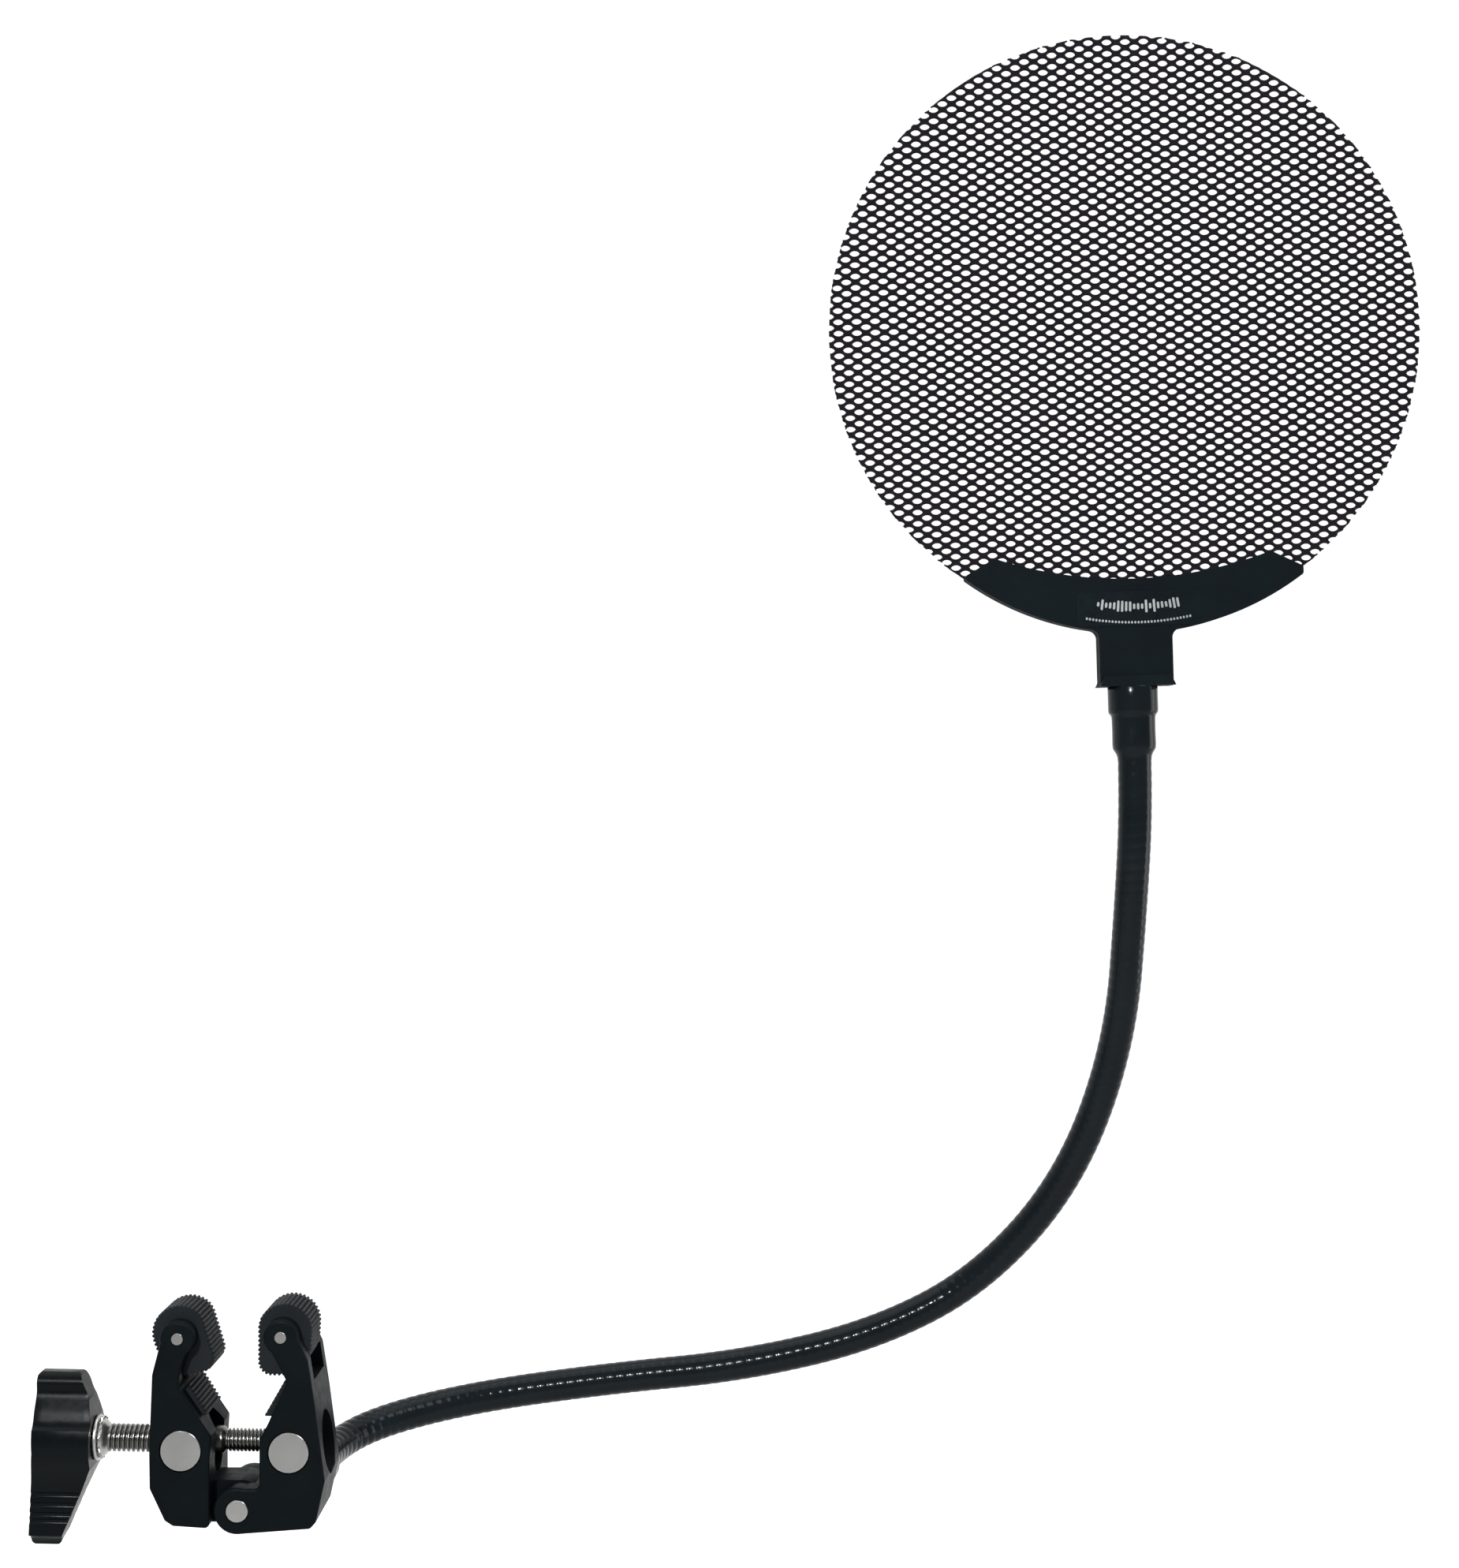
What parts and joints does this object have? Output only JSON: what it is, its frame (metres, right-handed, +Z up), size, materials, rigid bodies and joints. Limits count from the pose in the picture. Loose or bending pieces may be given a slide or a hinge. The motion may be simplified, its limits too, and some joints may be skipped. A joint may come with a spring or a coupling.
{
  "type": "pop filter",
  "caption": "Round black expanded-metal screen in a clip bracket on a bendable gooseneck, with a small two-jaw screw clamp for a microphone stand.",
  "frame": {"origin": "middle of the clamp's throat, on the axis of the held stand tube", "axes": "+X from the clamp's knob towards the gooseneck, +Y along the held tube and away from the clamp's front face, +Z up through the open throat towards the screen"},
  "size_m": [0.2946, 0.0645, 0.3203],
  "materials": {
    "clamp_black": "satin black powder coat",
    "bright_pin": "turned steel",
    "pad_rubber": "matt ribbed rubber",
    "screw_steel": "bright plated steel",
    "knob_plastic": "semi-gloss black plastic",
    "fitting_black": "black plated steel",
    "coil_steel": "oiled spring steel",
    "sleeve_black": "satin heat-shrink tube",
    "screen_black": "black coated expanded steel",
    "bracket_black": "satin black moulding",
    "label_clear": "clear printed film"
  },
  "bodies": {
    "right_jaw": {"right_jaw": "clamp_black", "hinge_pin": "bright_pin", "right_pad_pin": "bright_pin", "right_throat_pad": "pad_rubber", "lower_fitting": "fitting_black", "gooseneck_coil_1": "coil_steel", "gooseneck_sleeve_1": "sleeve_black"},
    "left_jaw": {"left_jaw": "clamp_black", "left_throat_pad": "pad_rubber", "left_pad_pin": "bright_pin"},
    "right_trunnion": {"right_trunnion": "bright_pin"},
    "left_trunnion": {"left_trunnion": "bright_pin"},
    "washer": {"collar_washer": "screw_steel"},
    "screw": {"clamp_screw": "screw_steel", "knob": "knob_plastic"},
    "left_pad": {"left_pad": "pad_rubber"},
    "right_pad": {"right_pad": "pad_rubber"},
    "neck_2": {"gooseneck_coil_2": "coil_steel", "gooseneck_sleeve_2": "sleeve_black"},
    "neck_3": {"gooseneck_coil_3": "coil_steel", "gooseneck_sleeve_3": "sleeve_black"},
    "neck_4": {"gooseneck_coil_4": "coil_steel", "gooseneck_sleeve_4": "sleeve_black"},
    "neck_5": {"gooseneck_coil_5": "coil_steel", "gooseneck_sleeve_5": "sleeve_black"},
    "neck_6": {"gooseneck_coil_6": "coil_steel", "gooseneck_sleeve_6": "sleeve_black"},
    "neck_7": {"gooseneck_coil_7": "coil_steel", "gooseneck_sleeve_7": "sleeve_black"},
    "neck_8": {"gooseneck_coil_8": "coil_steel", "gooseneck_sleeve_8": "sleeve_black"},
    "head": {"gooseneck_coil_9": "coil_steel", "gooseneck_sleeve_9": "sleeve_black", "upper_ferrule": "fitting_black", "screen": "screen_black", "front_bracket": "bracket_black", "back_bracket": "bracket_black", "label": "label_clear"}
  },
  "joints": [
    {"name": "jaw_hinge", "type": "hinge", "parent": "right_jaw", "child": "left_jaw", "pos_m": [0.0016, 0, -0.028], "axis": [0, -1, 0], "range_deg": [-9.85, 19.37]},
    {"name": "right_trunnion_tilt", "type": "hinge", "parent": "right_jaw", "child": "right_trunnion", "pos_m": [0.01224, 0, -0.016], "axis": [0, -1, 0], "range_deg": [-5.21, 10.24]},
    {"name": "left_trunnion_tilt", "type": "hinge", "parent": "left_jaw", "child": "left_trunnion", "pos_m": [-0.01, 0, -0.0156], "axis": [0, -1, 0], "range_deg": [-9.14, 4.65]},
    {"name": "screw_slide", "type": "slide", "parent": "right_trunnion", "child": "washer", "axis": [-0.9998, 0, 0.018], "range_m": [-0.00088, 0.00173]},
    {"name": "knob_turn", "type": "hinge", "parent": "washer", "child": "screw", "pos_m": [-0.01, 0, -0.0156], "axis": [-0.9998, 0, 0.018], "range_deg": [-396, 779]},
    {"name": "left_pad_tilt", "type": "hinge", "parent": "left_jaw", "child": "left_pad", "pos_m": [-0.0107, 0, 0.0074], "axis": [0, -1, 0], "range_deg": [-45, 10]},
    {"name": "right_pad_tilt", "type": "hinge", "parent": "right_jaw", "child": "right_pad", "pos_m": [0.01056, 0, 0.0077], "axis": [0, -1, 0], "range_deg": [-25, 25]},
    {"name": "neck_bend_1", "type": "hinge", "parent": "right_jaw", "child": "neck_2", "pos_m": [0.0345, 0.045, -0.0205], "axis": [-0.1414, 0, 0.9899], "range_deg": [-20, 20]},
    {"name": "neck_bend_2", "type": "hinge", "parent": "neck_2", "child": "neck_3", "pos_m": [0.0605, 0.0505, -0.017], "axis": [0.0317, -0.9995, 0.0041], "range_deg": [-20, 20]},
    {"name": "neck_bend_3", "type": "hinge", "parent": "neck_3", "child": "neck_4", "pos_m": [0.091, 0.05075, -0.0135], "axis": [-0.0995, 0, 0.995], "range_deg": [-20, 20]},
    {"name": "neck_bend_4", "type": "hinge", "parent": "neck_4", "child": "neck_5", "pos_m": [0.121, 0.0505, -0.0085], "axis": [0, -1, 0], "range_deg": [-20, 20]},
    {"name": "neck_bend_5", "type": "hinge", "parent": "neck_5", "child": "neck_6", "pos_m": [0.14825, 0.05075, 0.00125], "axis": [-0.4545, 0, 0.8908], "range_deg": [-20, 20]},
    {"name": "neck_bend_6", "type": "hinge", "parent": "neck_6", "child": "neck_7", "pos_m": [0.17, 0.0455, 0.01975], "axis": [-0.2049, -0.9424, -0.2642], "range_deg": [-20, 20]},
    {"name": "neck_bend_7", "type": "hinge", "parent": "neck_7", "child": "neck_8", "pos_m": [0.1845, 0.035, 0.048], "axis": [-0.9545, 0, 0.2983], "range_deg": [-20, 20]},
    {"name": "neck_bend_8", "type": "hinge", "parent": "neck_8", "child": "head", "pos_m": [0.18975, 0.0235, 0.081], "axis": [-0.0053, -0.9341, -0.3571], "range_deg": [-20, 20]}
  ],
  "couplings": [
    {"joint": "jaw_hinge", "follows": "knob_turn", "ratio": 0.024852},
    {"joint": "right_trunnion_tilt", "follows": "knob_turn", "ratio": 0.013127},
    {"joint": "left_trunnion_tilt", "follows": "knob_turn", "ratio": -0.011725},
    {"joint": "screw_slide", "follows": "knob_turn", "m_per_rad": 0.00012732}
  ]
}
